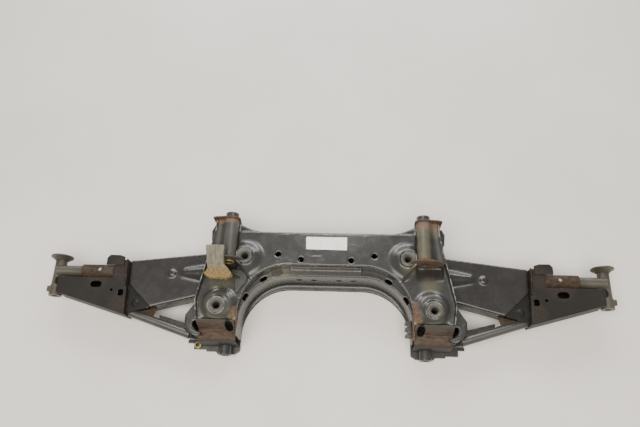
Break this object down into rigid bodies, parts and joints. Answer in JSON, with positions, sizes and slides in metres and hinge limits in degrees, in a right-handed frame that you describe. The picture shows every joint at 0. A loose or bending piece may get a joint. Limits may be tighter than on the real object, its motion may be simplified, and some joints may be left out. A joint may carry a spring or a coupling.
{
  "type": "subframe",
  "caption": "Welded pressed-steel suspension subframe: arched box beam, two towers with raised pivot domes and body mount tubes, and triangulated wings ending in flanged posts.",
  "frame": {"origin": "centre of the beam's back plate, on the line through the two upper pivots, at floor level", "axes": "+X along the beam to the right wing, +Y from the feet to the tower tops, +Z from the back plate to the face"},
  "size_m": [1.249, 0.2952, 0.15],
  "materials": {
    "shell_paint": "semi-gloss",
    "wing_paint": "satin",
    "worn_paint": "satin",
    "sleeve_steel": "satin",
    "rust_plate": "matte",
    "rust_brown": "matte",
    "paper": "matte",
    "moulding": "matte",
    "plated": "satin",
    "zinc_strap": "satin",
    "clip_plastic": "matte"
  },
  "bodies": {
    "root": {"front_shell": "shell_paint", "rear_shell": "shell_paint", "back_plate": "shell_paint", "arch_strip": "shell_paint", "label": "paper", "pivot_up_l": "sleeve_steel", "pivot_up_r": "sleeve_steel", "pivot_low_l": "sleeve_steel", "pivot_low_r": "sleeve_steel", "tube_cover_l": "shell_paint", "tube_cover_r": "shell_paint", "tower_web_l": "shell_paint", "tower_web_r": "shell_paint", "mount_tube_l": "shell_paint", "mount_tube_r": "shell_paint", "cap_plate_l": "rust_plate", "cap_plate_r": "rust_plate", "ear_plate_l": "rust_plate", "ear_plate_r": "rust_plate", "link_bracket_l": "rust_plate", "link_bracket_r": "rust_plate", "foot_plate_l": "shell_paint", "foot_plate_r": "shell_paint", "foot_boss_l": "shell_paint", "foot_boss_r": "shell_paint", "arm_front_l": "wing_paint", "arm_front_r": "wing_paint", "arm_rear_l": "wing_paint", "arm_rear_r": "wing_paint", "corner_panel_l": "wing_paint", "corner_panel_r": "wing_paint", "end_box_l": "wing_paint", "end_box_r": "wing_paint", "end_rear_l": "wing_paint", "end_rear_r": "wing_paint", "top_tab_l": "worn_paint", "top_tab_r": "worn_paint", "saddle_l": "rust_brown", "saddle_r": "rust_brown", "top_chord_l": "worn_paint", "top_chord_r": "worn_paint", "post_l": "worn_paint", "post_r": "worn_paint", "post_disc_l": "worn_paint", "post_disc_r": "worn_paint", "post_sleeve_l": "worn_paint", "post_sleeve_r": "worn_paint", "brace_tube_l": "worn_paint", "brace_tube_r": "worn_paint", "strut_l": "wing_paint", "strut_r": "wing_paint", "gusset_l": "rust_brown", "gusset_r": "rust_brown", "tan_block": "moulding", "thread_ring": "plated", "hook_strap": "zinc_strap", "arch_tab": "zinc_strap", "ribbed_clip": "clip_plastic", "foot_nut": "plated"}
  },
  "joints": []
}
